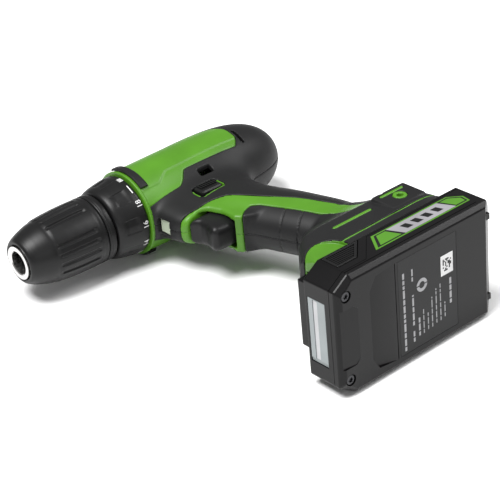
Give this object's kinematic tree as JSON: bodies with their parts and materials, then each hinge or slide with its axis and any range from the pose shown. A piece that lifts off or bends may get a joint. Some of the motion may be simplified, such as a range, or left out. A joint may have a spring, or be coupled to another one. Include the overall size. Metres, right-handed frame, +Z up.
{
  "type": "cordless drill",
  "caption": "Pistol-grip cordless drill with keyless chuck, clutch collar, trigger, direction selector and a slide-on battery pack with side latches.",
  "frame": {"origin": "centre of the footprint at floor height, with the drill lying on its right side", "axes": "+X along the spindle towards the chuck, +Y from the barrel towards the battery, +Z up, which is the drill's left side (to within 3 degrees)"},
  "size_m": [0.2086, 0.244, 0.078],
  "materials": {
    "green_shell": "satin moulded green plastic",
    "black_overmold": "soft matt overmould",
    "black_plastic": "fine textured black plastic",
    "battery_plastic": "satin black plastic",
    "lens": "pale frosted lens",
    "window": "grey translucent strip",
    "steel": "ground steel",
    "dark_steel": "phosphated steel",
    "copper": "copper and carbon",
    "magnet": "sintered ferrite",
    "nylon": "natural nylon",
    "board": "circuit board",
    "cell_wrap": "shrink-wrapped steel cells",
    "wire": "silicone insulation",
    "label": "printed film"
  },
  "bodies": {
    "housing": {"housing_left": "green_shell", "housing_right": "green_shell", "overmold_left": "black_overmold", "overmold_right": "black_overmold", "nose_bumpers": "black_overmold", "housing_screws": "dark_steel", "led_lens": "lens", "led_board": "board", "switch_module": "black_plastic", "terminal_block": "black_plastic", "terminal_blades": "copper", "internal_wires": "wire", "motor_can": "steel", "motor_magnets": "magnet", "brush_cap": "black_plastic", "carbon_brushes": "magnet", "motor_bushes": "copper", "ring_gear": "dark_steel", "gearbox_plate": "dark_steel", "gearbox_case": "nylon", "clutch_balls": "steel", "spindle_bearings": "copper", "clutch_washer": "steel", "clutch_spring": "steel", "trigger_spring": "steel"},
    "rotor": {"rotor_shaft": "steel", "armature": "copper", "motor_fan": "nylon", "motor_pinion": "steel"},
    "first_stage": {"carrier_first": "dark_steel"},
    "planet_1_a": {"planet_1_a": "steel"},
    "planet_1_b": {"planet_1_b": "steel"},
    "planet_1_c": {"planet_1_c": "steel"},
    "planet_2_a": {"planet_2_a": "steel"},
    "planet_2_b": {"planet_2_b": "steel"},
    "planet_2_c": {"planet_2_c": "steel"},
    "output": {"carrier_output": "dark_steel", "spindle": "steel", "chuck_body": "steel", "chuck_screw": "dark_steel", "chuck_rear_ring": "black_plastic"},
    "chuck_sleeve": {"chuck_sleeve": "black_plastic", "chuck_nut": "dark_steel"},
    "jaw_a": {"chuck_jaw_a": "dark_steel"},
    "jaw_b": {"chuck_jaw_b": "dark_steel"},
    "jaw_c": {"chuck_jaw_c": "dark_steel"},
    "clutch_collar": {"clutch_collar": "black_plastic"},
    "clutch_nut": {"clutch_nut": "nylon"},
    "trigger": {"trigger": "black_plastic"},
    "direction_selector": {"direction_selector": "black_plastic"},
    "battery": {"battery_upper_case": "battery_plastic", "battery_lower_cover": "battery_plastic", "battery_screws": "dark_steel", "battery_cells": "cell_wrap", "cell_holder": "black_plastic", "battery_board": "board", "charge_window": "window", "battery_labels": "label"},
    "latch_left": {"latch_left": "black_plastic"},
    "latch_right": {"latch_right": "black_plastic"}
  },
  "joints": [
    {"name": "spindle_spin", "type": "hinge", "parent": "housing", "child": "output", "pos_m": [0.0203, -0.09324, 0.0297], "axis": [1, 0, 0], "continuous": true},
    {"name": "rotor_spin", "type": "hinge", "parent": "housing", "child": "rotor", "pos_m": [0.0203, -0.09324, 0.0297], "axis": [1, 0, 0], "continuous": true},
    {"name": "first_stage_spin", "type": "hinge", "parent": "housing", "child": "first_stage", "pos_m": [0.0203, -0.09324, 0.0297], "axis": [1, 0, 0], "continuous": true},
    {"name": "planet_1_a_spin", "type": "hinge", "parent": "first_stage", "child": "planet_1_a", "pos_m": [-0.0217, -0.10373, 0.02923], "axis": [1, 0, 0], "continuous": true},
    {"name": "planet_1_b_spin", "type": "hinge", "parent": "first_stage", "child": "planet_1_b", "pos_m": [-0.0217, -0.0876, 0.02085], "axis": [1, 0, 0], "continuous": true},
    {"name": "planet_1_c_spin", "type": "hinge", "parent": "first_stage", "child": "planet_1_c", "pos_m": [-0.0217, -0.0884, 0.03902], "axis": [1, 0, 0], "continuous": true},
    {"name": "planet_2_a_spin", "type": "hinge", "parent": "output", "child": "planet_2_a", "pos_m": [-0.0087, -0.10373, 0.02923], "axis": [1, 0, 0], "continuous": true},
    {"name": "planet_2_b_spin", "type": "hinge", "parent": "output", "child": "planet_2_b", "pos_m": [-0.0087, -0.0876, 0.02085], "axis": [1, 0, 0], "continuous": true},
    {"name": "planet_2_c_spin", "type": "hinge", "parent": "output", "child": "planet_2_c", "pos_m": [-0.0087, -0.0884, 0.03902], "axis": [1, 0, 0], "continuous": true},
    {"name": "chuck_sleeve_turn", "type": "hinge", "parent": "output", "child": "chuck_sleeve", "pos_m": [0.0763, -0.09324, 0.0297], "axis": [-1, 0, 0], "range_deg": [0, 3600]},
    {"name": "jaw_a_slide", "type": "slide", "parent": "output", "child": "jaw_a", "axis": [0.9511, 0.3087, 0.0137], "range_m": [0, 0.0185]},
    {"name": "jaw_b_slide", "type": "slide", "parent": "output", "child": "jaw_b", "axis": [0.9511, -0.1662, 0.2605], "range_m": [0, 0.0185]},
    {"name": "jaw_c_slide", "type": "slide", "parent": "output", "child": "jaw_c", "axis": [0.9511, -0.1425, -0.2742], "range_m": [0, 0.0185]},
    {"name": "clutch_collar_turn", "type": "hinge", "parent": "housing", "child": "clutch_collar", "pos_m": [0.0323, -0.09324, 0.0297], "axis": [1, 0, 0], "range_deg": [-120, 120]},
    {"name": "clutch_nut_slide", "type": "slide", "parent": "clutch_collar", "child": "clutch_nut", "axis": [-1, 0, 0], "range_m": [-0.002, 0.002], "deforming": ["clutch_spring"]},
    {"name": "trigger_pull", "type": "slide", "parent": "housing", "child": "trigger", "axis": [-1, 0, 0], "range_m": [0, 0.007], "stiffness_N_per_m": 800, "springref_m": -0.002, "deforming": ["trigger_spring"]},
    {"name": "direction_slide", "type": "slide", "parent": "housing", "child": "direction_selector", "axis": [0, -0.0444, 0.999], "range_m": [-0.003, 0.003]},
    {"name": "battery_slide", "type": "slide", "parent": "housing", "child": "battery", "axis": [1, 0, 0], "range_m": [0, 0.1]},
    {"name": "latch_left_press", "type": "slide", "parent": "battery", "child": "latch_left", "axis": [0, 0.0444, -0.999], "range_m": [0, 0.002], "stiffness_N_per_m": 1500, "springref_m": -0.001},
    {"name": "latch_right_press", "type": "slide", "parent": "battery", "child": "latch_right", "axis": [0, -0.0444, 0.999], "range_m": [0, 0.002], "stiffness_N_per_m": 1500, "springref_m": -0.001}
  ],
  "couplings": [
    {"joint": "rotor_spin", "follows": "spindle_spin", "ratio": 25},
    {"joint": "first_stage_spin", "follows": "spindle_spin", "ratio": 5},
    {"joint": "planet_1_a_spin", "follows": "spindle_spin", "ratio": -13.333},
    {"joint": "planet_1_b_spin", "follows": "spindle_spin", "ratio": -13.333},
    {"joint": "planet_1_c_spin", "follows": "spindle_spin", "ratio": -13.333},
    {"joint": "planet_2_a_spin", "follows": "spindle_spin", "ratio": -2.6667},
    {"joint": "planet_2_b_spin", "follows": "spindle_spin", "ratio": -2.6667},
    {"joint": "planet_2_c_spin", "follows": "spindle_spin", "ratio": -2.6667},
    {"joint": "jaw_a_slide", "follows": "chuck_sleeve_turn", "m_per_rad": 0.00029443},
    {"joint": "jaw_b_slide", "follows": "chuck_sleeve_turn", "m_per_rad": 0.00029443},
    {"joint": "jaw_c_slide", "follows": "chuck_sleeve_turn", "m_per_rad": 0.00029443},
    {"joint": "clutch_nut_slide", "follows": "clutch_collar_turn", "m_per_rad": 0.00095}
  ]
}
